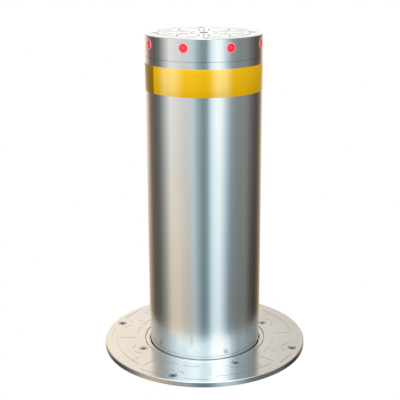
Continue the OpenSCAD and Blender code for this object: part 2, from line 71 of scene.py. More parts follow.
# %% [markdown]
# ## Camera
# The bollard is looked at from standing height, a little to the right of its axis. A long lens keeps
# the post's sides nearly parallel. The camera looks down by a fixed angle, and a small lens shift
# frames the bollard without tilting it, the way a view camera moves its film and not its back.

# %% Place the camera
LENS = 80.9              # millimetres on a 36 mm sensor
LOOK_DOWN = 16.16        # degrees below the horizon
camera_data = bpy.data.cameras.new("studio_camera")
camera_data.lens = LENS
camera_data.sensor_width = 36
camera_data.shift_x = -0.0352
camera_data.shift_y = -0.023
camera_data.clip_start = 0.05
camera_data.clip_end = 50
camera = bpy.data.objects.new("studio_camera", camera_data)
camera.location = (0.019, -1.675, 0.801)
camera.rotation_euler = (math.radians(90 - LOOK_DOWN), 0, 0)
bpy.context.scene.collection.objects.link(camera)
bpy.context.scene.camera = camera
bpy.context.scene.view_settings.view_transform = "Standard"
print(f"camera stands {abs(camera.location.y):.3f} m in front of the axis, {camera.location.z:.3f} m high")

# %% [markdown]
# ## Two helpers for colours and nodes
# Colours are picked as they look on a screen, which is sRGB. Shaders work with linear light, so one
# function turns a hex colour into linear numbers. The second helper adds a node in one line: its
# inputs are numbers, colours or the sockets that feed them, and what is left are its settings.

# %% Colour and node helpers
def srgb(code):
    """Turns a hex colour, such as "dcdcdb", into linear red, green, blue and alpha."""
    parts = [int(code[i:i + 2], 16) / 255 for i in (0, 2, 4)]
    return [c / 12.92 if c <= 0.04045 else ((c + 0.055) / 1.055) ** 2.4 for c in parts] + [1.0]


def add_node(tree, kind, inputs=None, stops=None, **settings):
    """Adds a node with its settings, and fills or links its inputs. stops are a ramp's (place, colour)."""
    node = tree.nodes.new(kind)
    for name, value in settings.items():
        setattr(node, name, value)
    for key, value in (inputs or {}).items():
        if isinstance(value, bpy.types.NodeSocket):
            tree.links.new(value, node.inputs[key])
        else:
            node.inputs[key].default_value = value
    if stops:
        elements = node.color_ramp.elements
        elements.remove(elements[1])
        for i, (place, code) in enumerate(stops):
            element = elements[0] if i == 0 else elements.new(place)
            element.position = place
            element.color = srgb(code)
    return node


print("mid grey is", round(srgb("808080")[0], 3), "in linear light")

# %% [markdown]
# ## The studio that the steel reflects
# Polished metal has hardly any colour of its own. What is seen on the post is the room around it:
# tall softboxes to the left and right front, dark gaps between them, and warm boards further round.
# A ring of upright strips is the easiest studio to build: a ramp gives a colour for each compass
# direction, in degrees from the camera's side. The post's upright wall reflects what is level with
# it near the top and what lies lower near the foot. The flat flange reflects what hangs higher up.
# So there are three rings: a level one, a low one and a high one. Each colour was set to what the
# real bollard's steel shows in that direction. They stand for the room that this bollard was seen
# in, so they are no general studio, and the directions behind it are a guess.

# %% Studio strips
LEVEL_STRIPS = [
    (-180, "f0f0ee"), (-163, "e8dccc"), (-148, "d4c2ae"), (-130, "78695c"), (-112, "565654"),
    (-96, "6c7072"), (-82, "b4b6b6"), (-68, "e2e6e7"), (-46, "d0d2d2"), (-34, "cccdcf"),
    (-22, "bed2d8"), (-12, "92a6ab"), (-2, "74868a"), (6, "788b91"), (14, "cde4ee"), (24, "f8ffff"),
    (34, "f6ffff"), (44, "c4d3e0"), (56, "8c999e"), (70, "7e8686"), (90, "808484"), (106, "666766"),
    (122, "544a44"), (138, "63544a"), (157, "c4ae9a"), (180, "f0f0ee"),
]
LOW_STRIPS = [
    (-180, "b8ac98"), (-160, "b4a088"), (-146, "9a866e"), (-126, "5a5248"), (-104, "54544e"),
    (-86, "8a8476"), (-70, "d8c8b2"), (-52, "dfccb4"), (-40, "d0bfa8"), (-30, "c0bcb2"),
    (-20, "b8c6ca"), (-10, "93a4aa"), (-1, "6c7e84"), (8, "86a0aa"), (18, "d8ecf6"), (30, "e0f3fb"),
    (42, "a9bcc7"), (52, "74828a"), (72, "747874"), (92, "76746e"), (108, "4c4a44"), (124, "3a352f"),
    (142, "625240"), (158, "a09078"), (180, "b8ac98"),
]
HIGH_STRIPS = [
    (-180, "b8b1a7"), (-173, "c8bdb0"), (-150, "beb5aa"), (-126, "a8a29a"), (-104, "949690"), (-86, "9ca6aa"),
    (-70, "b6c6cc"), (-54, "d8e8f0"), (-40, "dcecf2"), (-26, "eefdff"), (-14, "ecfbff"),
    (-3, "d2e8f0"), (7, "d2e8f0"), (20, "faffff"), (36, "ffffff"), (48, "ecfaff"), (60, "b2c4cc"),
    (74, "86989e"), (92, "86979c"), (110, "7a868a"), (136, "7c7874"), (156, "a09c94"),
    (175, "a6a29b"), (180, "b8b1a7"),
]


def degrees_to_ramp(strips):
    """Places a ring of (degrees, colour) pairs along a ramp, which runs from 0 to 1."""
    return [((degrees + 180) / 360, code) for degrees, code in strips]


world = bpy.data.worlds.new("studio")
bpy.context.scene.world = world
world.use_nodes = True
sky = world.node_tree
sky.nodes.clear()
direction = add_node(sky, "ShaderNodeTexCoord").outputs["Generated"]
part = add_node(sky, "ShaderNodeSeparateXYZ", {0: direction})
toward = add_node(sky, "ShaderNodeMath", {0: part.outputs["Y"], 1: -1.0}, operation="MULTIPLY")
turn = add_node(sky, "ShaderNodeMath", {0: part.outputs["X"], 1: toward.outputs[0]}, operation="ARCTAN2")
around = add_node(sky, "ShaderNodeMapRange", {
    "Value": turn.outputs[0], "From Min": -math.pi, "From Max": math.pi}).outputs["Result"]
rings = [
    add_node(sky, "ShaderNodeValToRGB", {0: around}, stops=degrees_to_ramp(strips)).outputs["Color"]
    for strips in (LEVEL_STRIPS, LOW_STRIPS, HIGH_STRIPS)
]
print("strips in the level, low and high ring:", len(LEVEL_STRIPS), len(LOW_STRIPS), len(HIGH_STRIPS))

# %% [markdown]
# The height of a direction is its z: 0 is level, 1 is straight up and -1 straight down. One ring
# fades into the next over a band of heights. The high ring hangs closer to the lamps, so it is
# brighter. The studio floor just in front of the flange is darker than the boards behind it.
# The camera itself sees a plain white backdrop: Light Path tells its own rays from reflected ones.

# %% Studio heights
STEEL_REFLECTS = 0.72    # the share of light that stainless steel sends back
HIGH_RING_GAIN = 1.5
FLOOR_GAIN = 0.41
height = part.outputs["Z"]


def fade(start, end, low=0.0, high=1.0):
    """A smooth step from low to high as the direction's height goes from start to end."""
    return add_node(sky, "ShaderNodeMapRange", {
        "Value": height, "From Min": start, "From Max": end, "To Min": low, "To Max": high},
        interpolation_type="SMOOTHSTEP").outputs["Result"]


walls = add_node(sky, "ShaderNodeMix", {0: fade(-0.17, -0.38), 6: rings[0], 7: rings[1]}, data_type="RGBA")
room = add_node(sky, "ShaderNodeMix", {0: fade(0.16, 0.38), 6: walls.outputs[2], 7: rings[2]},
                data_type="RGBA")
gain = add_node(sky, "ShaderNodeMath", {0: fade(0.16, 0.38, 1.0, HIGH_RING_GAIN),
                                        1: fade(-0.44, -0.48, 1.0, FLOOR_GAIN)}, operation="MULTIPLY")
lit = add_node(sky, "ShaderNodeVectorMath", {0: room.outputs[2], "Scale": gain.outputs[0]},
               operation="SCALE")
lit_room = add_node(sky, "ShaderNodeBackground", {"Color": lit.outputs[0], "Strength": 1 / STEEL_REFLECTS})
backdrop = add_node(sky, "ShaderNodeBackground", {"Color": srgb("ffffff"), "Strength": 1.0})
camera_ray = add_node(sky, "ShaderNodeLightPath").outputs["Is Camera Ray"]
seen = add_node(sky, "ShaderNodeMixShader", {0: camera_ray, 1: lit_room.outputs[0], 2: backdrop.outputs[0]})
add_node(sky, "ShaderNodeOutputWorld", {"Surface": seen.outputs[0]})
print("the high ring starts", round(math.degrees(math.asin(0.16))), "degrees above the horizon")

# %% [markdown]
# ## Floor
# The bollard stands in the ground, so a pale round of floor lies level with the underside of its
# flange. It is only as wide as it has to be to cover the hole below. It glows plain white, as paving
# does under very soft light, and the steel neither reflects it nor is lit by it.

# %% Make the floor
FLOOR_RADIUS = 1.5 * flange_radius
floor_mesh = bpy.data.meshes.new("floor")
shape = bmesh.new()
bmesh.ops.create_circle(shape, cap_ends=True, segments=128, radius=FLOOR_RADIUS)
shape.to_mesh(floor_mesh)
shape.free()
floor = bpy.data.objects.new("floor", floor_mesh)
floor.location.z = -0.2 * MM
bpy.context.scene.collection.objects.link(floor)
floor_paint = bpy.data.materials.new("pale_floor")
floor_paint.use_nodes = True
floor_paint.node_tree.nodes.clear()
glow = add_node(floor_paint.node_tree, "ShaderNodeEmission", {"Color": srgb("ffffff"), "Strength": 1.0})
add_node(floor_paint.node_tree, "ShaderNodeOutputMaterial", {"Surface": glow.outputs[0]})
floor_mesh.materials.append(floor_paint)
for kind_of_ray in ("visible_diffuse", "visible_glossy", "visible_transmission", "visible_shadow"):
    setattr(floor, kind_of_ray, False)
print(f"floor radius {FLOOR_RADIUS:.3f} m")

# %% [markdown]
# ## A start for every material
# Each finish begins with the same Principled shader and then gets its own pattern. Real surfaces are
# never even: grain, dirt and handling change the colour and the gloss from place to place, and noise
# textures draw that. Their scale comes from a size in millimetres, because the texture's coordinates
# are in metres. A finish is stored under the name of the slot that the CAD record gives to its parts.

# %% Material helpers
finishes = {}


def new_finish(slot, name, colour, metallic, roughness, **more):
    """Makes the material for a slot of the record, and returns its node tree and its shader."""
    material = bpy.data.materials.new(name)
    material.use_nodes = True
    material.diffuse_color = srgb(colour)
    shader = material.node_tree.nodes["Principled BSDF"]
    values = {"Base Color": srgb(colour), "Metallic": metallic, "Roughness": roughness, **more}
    for socket, value in values.items():
        shader.inputs[socket].default_value = value
    finishes[slot] = material
    return material.node_tree, shader


def spots(tree, size_mm, stretch=(1, 1, 1), detail=3.0):
    """Noise with spots about size_mm wide. stretch makes them longer along an axis."""
    place = add_node(tree, "ShaderNodeTexCoord").outputs["Object"]
    scale = [1 / (MM * size_mm * s) for s in stretch]
    scaled = add_node(tree, "ShaderNodeMapping", {"Vector": place, "Scale": scale})
    return add_node(tree, "ShaderNodeTexNoise", {
        "Vector": scaled.outputs[0], "Scale": 1.0, "Detail": detail}).outputs["Fac"]


def vary(tree, shader, pattern, socket, low, high, start=0.3, end=0.7):
    """Lets a pattern drive a shader socket between two values, numbers or hex colours."""
    if isinstance(low, str):
        mixed = add_node(tree, "ShaderNodeValToRGB", {0: pattern}, stops=[(start, low), (end, high)])
    else:
        mixed = add_node(tree, "ShaderNodeMapRange", {
            "Value": pattern, "From Min": start, "From Max": end, "To Min": low, "To Max": high})
    tree.links.new(mixed.outputs[0], shader.inputs[socket])
    return mixed.outputs[0]


def relief(tree, shader, pattern, depth_mm):
    """Presses a pattern into the surface as bump, depth_mm deep."""
    bump = add_node(tree, "ShaderNodeBump", {"Height": pattern, "Distance": depth_mm * MM})
    tree.links.new(bump.outputs[0], shader.inputs["Normal"])


def paint_shade_in_corners(tree, shader, colour_socket, reach_mm, dirt_and_shade):
    """Paints shade into the colour: darker in narrow grooves and corners that Ambient Occlusion finds."""
    open_air = add_node(tree, "ShaderNodeAmbientOcclusion", {"Distance": reach_mm * MM}, samples=8)
    unshaded = add_node(tree, "ShaderNodeMapRange", {
        "Value": open_air.outputs["AO"], "From Min": 0.35, "From Max": 0.8})
    mixed = add_node(tree, "ShaderNodeMix", {0: unshaded.outputs["Result"], 6: srgb(dirt_and_shade), 7: colour_socket},
                     data_type="RGBA")
    tree.links.new(mixed.outputs[2], shader.inputs["Base Color"])


print("one small function adds nodes; four more draw with them")

# %% [markdown]
# ## Stainless steel
# The post is a tube of 304 stainless steel, ground and then polished to a satin. Belts run round the
# tube, so the fine grain goes round it too. Such a grain blurs a reflection across the scratches, up
# and down, more than along them: that is what Anisotropic does, with a tangent that runs round the
# post. The real scratches are finer than a hair. They are drawn 2 mm apart so that they still show.

# %% Satin stainless steel
tree, shader = new_finish("brushed_stainless", "stainless_steel_satin_polished", "dcdcdb", 1.0, 0.19,
                          Anisotropic=0.85)
shader.inputs["Anisotropic Rotation"].default_value = 0.25
grain = spots(tree, 2, (60, 60, 1))
vary(tree, shader, grain, "Roughness", 0.18, 0.2)
vary(tree, shader, spots(tree, 140), "Base Color", "d9dad9", "dfdfde")
round_the_post = add_node(tree, "ShaderNodeTangent", direction_type="RADIAL", axis="Z")
tree.links.new(round_the_post.outputs[0], shader.inputs["Tangent"])
print("satin steel roughness 0.18 to 0.20")

# %% [markdown]
# The flange and the top plate are plates of the same steel. They were faced on a lathe before the
# anti-slip lines were engraved, which leaves very fine rings round the middle. Ambient Occlusion finds
# narrow places such as the lines, and shade is painted into the steel's colour there. The flange gets
# a light painted shade. The top plate gets a darker one, so it gets a finish of its own.

# %% Turned and engraved stainless steel
TURNING_RING_MM = 1.2    # the real feed is near 0.1 mm
for slot, name, dirt_and_shade in (
        ("engraved_stainless", "stainless_steel_turned_and_engraved", "a8a49e"),
        ("top_plate", "stainless_steel_turned_with_dirty_lines", "4c4c4a")):
    tree, shader = new_finish(slot, name, "dcdcdb", 1.0, 0.16)
    place = add_node(tree, "ShaderNodeTexCoord").outputs["Object"]
    flat = add_node(tree, "ShaderNodeVectorMath", {0: place, 1: (1, 1, 0)}, operation="MULTIPLY")
    from_axis = add_node(tree, "ShaderNodeVectorMath", {0: flat.outputs[0]}, operation="LENGTH")
    feed = add_node(tree, "ShaderNodeMath", {0: from_axis.outputs["Value"], 1: 1 / (TURNING_RING_MM * MM)},
                    operation="MULTIPLY")
    turned = add_node(tree, "ShaderNodeTexNoise", {"W": feed.outputs[0], "Scale": 1.0, "Detail": 2.0},
                      noise_dimensions="1D").outputs["Fac"]
    vary(tree, shader, turned, "Roughness", 0.14, 0.2)
    steel = vary(tree, shader, spots(tree, 90), "Base Color", "d8d8d7", "dfdfde")
    # Painted shade: the steel is darker where Ambient Occlusion finds the engraved lines and corners.
    paint_shade_in_corners(tree, shader, steel, 3, dirt_and_shade)
print("turning rings", TURNING_RING_MM, "mm apart")

# %% [markdown]
# ## Fasteners and bare steel parts
# Screws are blackened by a hot oxide bath, which leaves a dark, slightly oily metal. On the street
# side it wears off the heads, and shade is painted nearly black into their sockets. Turned pins and
# rods stay bright with fine rings round them. Plates, brackets and nuts are zinc plated: bluish, with
# soft clouds from the bath. The piston rod is ground and hard chromed, the shiniest part of all.

# %% Oxide, turned, zinc and chrome
for slot, name, dark, light in (
        ("dark_fastener", "steel_black_oxide", "7a8088", "94989c"),
        ("outer_screws", "steel_black_oxide_worn", "8e9294", "aaacae"),
        ("inner_screws", "steel_blue_zinc_plated", "9caabc", "b6c2ce")):
    tree, shader = new_finish(slot, name, light, 1.0, 0.35)
    vary(tree, shader, spots(tree, 4), "Roughness", 0.28, 0.42)
    plain = vary(tree, shader, spots(tree, 9), "Base Color", dark, light)
    # Painted shade: nearly black where Ambient Occlusion finds the sockets and narrow corners.
    paint_shade_in_corners(tree, shader, plain, 3, "0c0e10")

tree, shader = new_finish("street_dirt", "dirt_packed_and_oily", "17181a", 0.0, 0.85)
vary(tree, shader, spots(tree, 1.5), "Base Color", "101113", "2c2b29")
vary(tree, shader, spots(tree, 3), "Roughness", 0.7, 0.95)
relief(tree, shader, spots(tree, 0.6), 0.1)

tree, shader = new_finish("machined_steel", "steel_turned", "c4c6c8", 1.0, 0.25)
vary(tree, shader, spots(tree, 1, (40, 40, 1)), "Roughness", 0.2, 0.34)
vary(tree, shader, spots(tree, 30), "Base Color", "bcbfc2", "cccdce")

tree, shader = new_finish("zinc_steel", "steel_zinc_plated", "b4bac2", 1.0, 0.3)
vary(tree, shader, spots(tree, 25), "Roughness", 0.26, 0.42)
vary(tree, shader, spots(tree, 40), "Base Color", "a9b2be", "c4c6c4")

tree, shader = new_finish("chromed_rod", "steel_ground_and_hard_chromed", "e2e4e6", 1.0, 0.07)
vary(tree, shader, spots(tree, 1, (20, 20, 1)), "Roughness", 0.05, 0.1)
vary(tree, shader, spots(tree, 60), "Base Color", "dfe1e4", "e8e9ea")
print(len(finishes), "finishes so far")

# %% [markdown]
# ## Galvanised and rusty steel
# The casing is dipped in molten zinc, which freezes into a mosaic of crystals called spangle, each a
# slightly different grey. Voronoi cells about 9 mm wide draw them. The anchor bars are hot rolled and
# go into the concrete as they are, with a dark mill scale that has started to rust.

# %% Galvanised casing and rusty bars
SPANGLE_MM = 9
tree, shader = new_finish("galvanised_steel", "steel_hot_dip_galvanised", "a4a9ad", 1.0, 0.45)
place = add_node(tree, "ShaderNodeTexCoord").outputs["Object"]
crystals = add_node(tree, "ShaderNodeTexVoronoi", {"Vector": place, "Scale": 1 / (SPANGLE_MM * MM)})
facet = add_node(tree, "ShaderNodeSeparateColor", {0: crystals.outputs["Color"]}).outputs[0]
vary(tree, shader, facet, "Roughness", 0.34, 0.56, 0.0, 1.0)
zinc = vary(tree, shader, facet, "Base Color", "959ba1", "b6babd", 0.0, 1.0)
# Painted shade: the zinc is darker where Ambient Occlusion finds corners, within 12 mm.
paint_shade_in_corners(tree, shader, zinc, 12, "5c5a55")
relief(tree, shader, spots(tree, 14), 0.25)

tree, shader = new_finish("rebar_steel", "steel_hot_rolled_and_rusty", "5e4436", 0.35, 0.75)
rust = spots(tree, 60, detail=8.0)
vary(tree, shader, rust, "Base Color", "4a403c", "7c5038", 0.35, 0.65)
vary(tree, shader, rust, "Metallic", 0.5, 0.1, 0.35, 0.65)
relief(tree, shader, spots(tree, 1.5), 0.2)
print("spangle", SPANGLE_MM, "mm wide")

# %% [markdown]
# ## Rubber and plastics
# Rubber and plastic have no metal in them: they show their own colour and a weak, pale reflection.
# Rubber is dull. Acetal, which the guide bushes and rollers are turned from, is waxy, and a little
# light goes into it before it comes out again. Moulded nylon and ABS have a fine texture from their
# tool, about a millimetre apart here so that it shows.

# %% Rubber, acetal, nylon, ABS
tree, shader = new_finish("black_rubber", "rubber_moulded", "1c1c1d", 0.0, 0.65, IOR=1.52)
vary(tree, shader, spots(tree, 6), "Roughness", 0.55, 0.78)
vary(tree, shader, spots(tree, 30), "Base Color", "171718", "262525")
relief(tree, shader, spots(tree, 0.8), 0.05)

tree, shader = new_finish("guide_plastic", "acetal_turned", "e8e3d6", 0.0, 0.38, IOR=1.48)
shader.inputs["Subsurface Weight"].default_value = 0.15
shader.inputs["Subsurface Radius"].default_value = (2 * MM, 1.6 * MM, 1.2 * MM)
shader.inputs["Subsurface Scale"].default_value = 1.0
vary(tree, shader, spots(tree, 1, (30, 30, 1)), "Roughness", 0.32, 0.46)
vary(tree, shader, spots(tree, 50), "Base Color", "e2dccb", "ece8de")

for slot, name, dark, light, ior in (
        ("black_plastic", "nylon_moulded", "1a1b1c", "28292a", 1.53),
        ("orange_plastic", "abs_moulded", "d8621a", "e87424", 1.54)):
    tree, shader = new_finish(slot, name, light, 0.0, 0.45, IOR=ior)
    vary(tree, shader, spots(tree, 5), "Roughness", 0.38, 0.52)
    vary(tree, shader, spots(tree, 40), "Base Color", dark, light)
    relief(tree, shader, spots(tree, 1), 0.04)
print(len(finishes), "finishes so far")

# %% [markdown]
# ## Paint, copper and the potted board
# The pump unit is stove enamelled: a smooth coat with a faint orange peel, about 3 mm from dimple to
# dimple, under a clear gloss. The winding is copper wire in an amber lacquer. The lamp driver is
# potted, which means cast in resin, green and glossy like the board it covers.

# %% Paint, copper, resin
for slot, name, dark, light in (
        ("painted_barrel", "steel_stove_enamelled_grey", "33383b", "40464a"),
        ("painted_motor", "steel_stove_enamelled_blue", "28507a", "32608e")):
    tree, shader = new_finish(slot, name, light, 0.0, 0.35)
    shader.inputs["Coat Weight"].default_value = 0.6
    shader.inputs["Coat Roughness"].default_value = 0.08
    vary(tree, shader, spots(tree, 60), "Base Color", dark, light)
    vary(tree, shader, spots(tree, 8), "Roughness", 0.3, 0.42)
    relief(tree, shader, spots(tree, 3), 0.04)

tree, shader = new_finish("copper_winding", "copper_lacquered_wire", "b4652e", 1.0, 0.35)
vary(tree, shader, spots(tree, 2, (1, 1, 6)), "Roughness", 0.25, 0.45)
vary(tree, shader, spots(tree, 1.2, (8, 8, 1)), "Base Color", "8e4620", "cc7c3e")

tree, shader = new_finish("potted_board", "epoxy_cast_green", "1c4a2c", 0.0, 0.2, IOR=1.55)
vary(tree, shader, spots(tree, 7), "Base Color", "143c22", "25583a")
vary(tree, shader, spots(tree, 12), "Roughness", 0.12, 0.28)
print(len(finishes), "finishes so far")

# %% [markdown]
# ## Reflective sheeting
# The yellow band is retroreflective sheeting: a clear acrylic film over small sealed cells of tiny
# prisms. By day it is a strong yellow. Its emission is painted light: the band glows, though it is
# no lamp, and its shading looks flatter. The prisms are backed with metal, so part of the yellow is a
# yellow mirror. The acrylic on top is a coat, and it carries the white reflections of the softboxes.
# The cells are bricks in a running bond, unrolled from the tube: the angle round the post, times its
# radius, is the distance along the band.

# Where the strip's end lies over its start, its yellow is painted darker as shade, and glows less.
# The softboxes also show in the film as paler upright patches. Here they are painted into the yellow,
# two to every third of a turn, by a ramp over the angle within a third. That is a shortcut and not a
# good one: a true reflection moves when the bollard is seen from another side, and these stay put.
# One yellow under a stronger coat would be the better way.

# %% Yellow sheeting
CELL_MM = 4.0
PAINTED_REFLECTIONS = [(11, "000000"), (22, "ffffff"), (30, "ffffff"), (44, "000000"),
           (65, "000000"), (74, "ffffff"), (80, "ffffff"), (90, "000000")]    # degrees within a third


def sheeting(slot, name, cell, seam, pale, glow):
    """Clear film over rows of small prism cells: yellow, with painted reflections and painted glow."""
    tree, shader = new_finish(slot, name, cell, 0.15, 0.14)
    place = add_node(tree, "ShaderNodeTexCoord").outputs["Object"]
    part = add_node(tree, "ShaderNodeSeparateXYZ", {0: place})
    front = add_node(tree, "ShaderNodeMath", {0: part.outputs["Y"], 1: -1.0}, operation="MULTIPLY")
    angle = add_node(tree, "ShaderNodeMath", {0: part.outputs["X"], 1: front.outputs[0]},
                     operation="ARCTAN2")
    along = add_node(tree, "ShaderNodeMath", {0: angle.outputs[0], 1: post_radius}, operation="MULTIPLY")
    unrolled = add_node(tree, "ShaderNodeCombineXYZ", {"X": along.outputs[0], "Y": part.outputs["Z"]})
    cells = add_node(tree, "ShaderNodeTexBrick", {
        "Vector": unrolled.outputs[0], "Scale": 1.0, "Brick Width": CELL_MM * MM,
        "Row Height": CELL_MM * MM, "Mortar Size": 0.3 * MM, "Color1": srgb(cell), "Color2": srgb(cell),
        "Mortar": srgb(seam)})
    thirds = add_node(tree, "ShaderNodeMapRange", {
        "Value": angle.outputs[0], "From Min": -math.pi, "From Max": math.pi, "To Min": 0, "To Max": 3})
    within = add_node(tree, "ShaderNodeMath", {0: thirds.outputs["Result"]}, operation="FRACT")
    painted_reflections = add_node(tree, "ShaderNodeValToRGB", {0: within.outputs[0]},
                       stops=[(degrees / 120, code) for degrees, code in PAINTED_REFLECTIONS])
    painted_reflections.color_ramp.interpolation = "EASE"
    yellow = add_node(tree, "ShaderNodeMix", {
        0: painted_reflections.outputs["Color"], 6: cells.outputs["Color"], 7: srgb(pale)}, data_type="RGBA")
    tree.links.new(yellow.outputs[2], shader.inputs["Base Color"])
    # Painted light: the yellow is also the emission colour, so the sheeting glows though it is no lamp.
    tree.links.new(yellow.outputs[2], shader.inputs["Emission Color"])
    for socket, value in (("Emission Strength", glow), ("Specular IOR Level", 0.0), ("Coat Weight", 1.0),
                          ("Coat IOR", 1.3), ("Coat Roughness", 0.06)):
        shader.inputs[socket].default_value = value
    vary(tree, shader, spots(tree, 12), "Roughness", 0.12, 0.17)


# The last number is the painted glow, an emission strength.
sheeting("reflective_yellow", "acrylic_prismatic_sheeting", "e9ae00", "e0a500", "f0c666", 0.25)
# Painted shade: the overlapping end is a darker copy of the sheeting, and glows less.
sheeting("shaded_sheeting_end", "acrylic_prismatic_sheeting_painted_darker", "a87e00", "806000", "a87e00", 0.05)
print("sheeting cells", CELL_MM, "mm wide")

# %% [markdown]
# ## Lamps that are lit
# A lamp is a red polycarbonate lens with a light-emitting diode behind it. The middle of the lens,
# where the diode is, is almost orange. Its edge is a deep red. A frosted collar round the lens picks
# up the light and passes it on as a pink glow. Every vertex of a lamp stores how far it is from the
# lamp's middle, and a ramp turns that value into a colour. Emission is what a lit surface sends out by
# itself.

# %% Lens and glow ring
LAMP_RADIUS_MM = 7.0


def lit_plastic(slot, name, colour, strength, stops):
    """A plastic that shines, with a ramp of colours from the middle (0) to the lens's edge (1)."""
    tree, shader = new_finish(slot, name, colour, 0.0, 0.2, IOR=1.58)
    share = add_node(tree, "ShaderNodeAttribute", attribute_name="from_centre").outputs["Fac"]
    halved = add_node(tree, "ShaderNodeMath", {0: share, 1: 0.5}, operation="MULTIPLY")
    glow = add_node(tree, "ShaderNodeValToRGB", {0: halved.outputs[0]},
                    stops=[(at / 2, code) for at, code in stops])
    tree.links.new(glow.outputs[0], shader.inputs["Emission Color"])
    tree.links.new(glow.outputs[0], shader.inputs["Base Color"])
    shader.inputs["Emission Strength"].default_value = strength
    vary(tree, shader, spots(tree, 1), "Roughness", 0.15, 0.3)


lit_plastic("red_lens", "polycarbonate_red_lit", "d8142c", 0.66,
            [(0.0, "ff5048"), (0.28, "f6303a"), (0.6, "d80c26"), (1.0, "be061e")])
lit_plastic("glow_ring", "polycarbonate_frosted_lit", "ffa0b0", 0.35,
            [(1.0, "e03050"), (1.12, "ff7890"), (1.3, "ff9cac")])
print("a lamp is", 2 * LAMP_RADIUS_MM, "mm across")

# %% [markdown]
# ## Every CAD part gets its finish
# The record says which slot each CAD part belongs to. A finish that is stored under a part's own
# name goes before the one of its slot.

# %% Assign the finishes
slot_of_node = {entry["node"]: entry["material_slot"] for entry in frame["record"]["subparts"]}
for name, slot in slot_of_node.items():
    frame["nodes"][name].material_slots[0].material = finishes.get(name) or finishes[slot]
print(len(slot_of_node), "CAD nodes have a finish")

# %% [markdown]
# ## Tools for new pieces
# The CAD parts have the right sizes but plain surfaces. Some of them get a more detailed piece in
# their place, and some get a new piece beside them, such as a weld. Three small builders are enough.
# One turns an outline round an axis, as a lathe would. One lays a rippled bead along a closed path.
# One turns a finished mesh into an object that moves with the right body of the bollard.

# %% Piece builders
bodies = frame["record"]["behaviour"]["bodies"]
body_of_node = {node: body for body, nodes in bodies.items() for node in nodes}


def join_rings(shape, rings, closed=True):
    """Fills in the faces between rings of vertices that follow each other."""
    for index in range(0 if closed else 1, len(rings)):
        for corner in range(len(rings[0])):
            shape.faces.new((rings[index - 1][corner - 1], rings[index][corner - 1],
                             rings[index][corner], rings[index - 1][corner]))
    if not closed:
        shape.faces.new(rings[0])
        shape.faces.new(rings[-1])


def add_turned(shape, outline, place=Matrix.Identity(4), steps=96, sweep=math.tau, slant=0.0):
    """Turns a closed outline of (radius, height) points, in mm, about the Z axis of a place."""
    closed = sweep == math.tau
    rings = []
    for step in range(steps if closed else steps + 1):
        angle = sweep * step / steps
        lean = slant * math.cos(angle)
        rings.append([shape.verts.new(place @ Vector((
            radius * MM * math.cos(angle), radius * MM * math.sin(angle), (height + lean) * MM)))
            for radius, height in outline])
    join_rings(shape, rings, closed)


def add_bead(shape, path, axis, bead_mm):
    """Lays a weld bead with a ripple every five steps along a closed path of points, in metres."""
    rings = []
    for index, point in enumerate(path):
        along = (path[(index + 1) % len(path)] - path[index - 1]).normalized()
        side = along.cross(axis).normalized()
        size = bead_mm * MM * (0.92, 1.0, 1.06, 1.1, 1.0)[index % 5]
        rings.append([shape.verts.new(point + size * (math.cos(a) * side + math.sin(a) * side.cross(along)))
                      for a in (math.tau * corner / 8 for corner in range(8))])
    join_rings(shape, rings)


def make_piece(name, shape, node, finish=None, stands_for=()):
    """Makes an object that moves, and takes its slot, like a CAD node, and may stand in its place."""
    bmesh.ops.remove_doubles(shape, verts=shape.verts, dist=1e-7)
    bmesh.ops.recalc_face_normals(shape, faces=shape.faces)
    mesh = bpy.data.meshes.new(name)
    shape.to_mesh(mesh)
    shape.free()
    mesh.shade_smooth()
    mesh.set_sharp_from_angle(angle=math.radians(40))
    mesh.materials.append(finish or frame["nodes"][node].material_slots[0].material)
    piece = bpy.data.objects.new(name, mesh)
    bpy.context.scene.collection.objects.link(piece)
    if stands_for:
        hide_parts(*stands_for)
    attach(piece, body_of_node[node])
    print(f"{name}: {len(mesh.polygons)} faces, moves with {body_of_node[node]}")
    return piece


def solid_centres(node):
    """The centre of each separate solid of a CAD node, in metres, in order round the axis."""
    shape = bmesh.new()
    shape.from_mesh(frame["nodes"][node].data)
    bmesh.ops.remove_doubles(shape, verts=shape.verts, dist=1e-6)
    waiting, centres = set(shape.verts), []
    while waiting:
        solid = [waiting.pop()]
        for vertex in solid:
            near = {edge.other_vert(vertex) for edge in vertex.link_edges} & waiting
            waiting -= near
            solid.extend(near)
        spans = [[vertex.co[axis] for vertex in solid] for axis in range(3)]
        centres.append(Vector([(min(span) + max(span)) / 2 for span in spans]))
    shape.free()
    return sorted(centres, key=lambda centre: math.atan2(centre.y, centre.x))


# %% [markdown]
# ## Lamp lenses and their glow
# Eight lamps sit round the head. Each lens is a low dome, pressed into a bore in the steel. A frosted
# ring lies round it, nearly flush, so that the lowered head still passes the wiper seal. A value is
# stored on every vertex: how far it is from the middle of its lamp, where 1 is the lens's edge. The
# lit plastic reads that value, so all eight lamps can be one mesh.

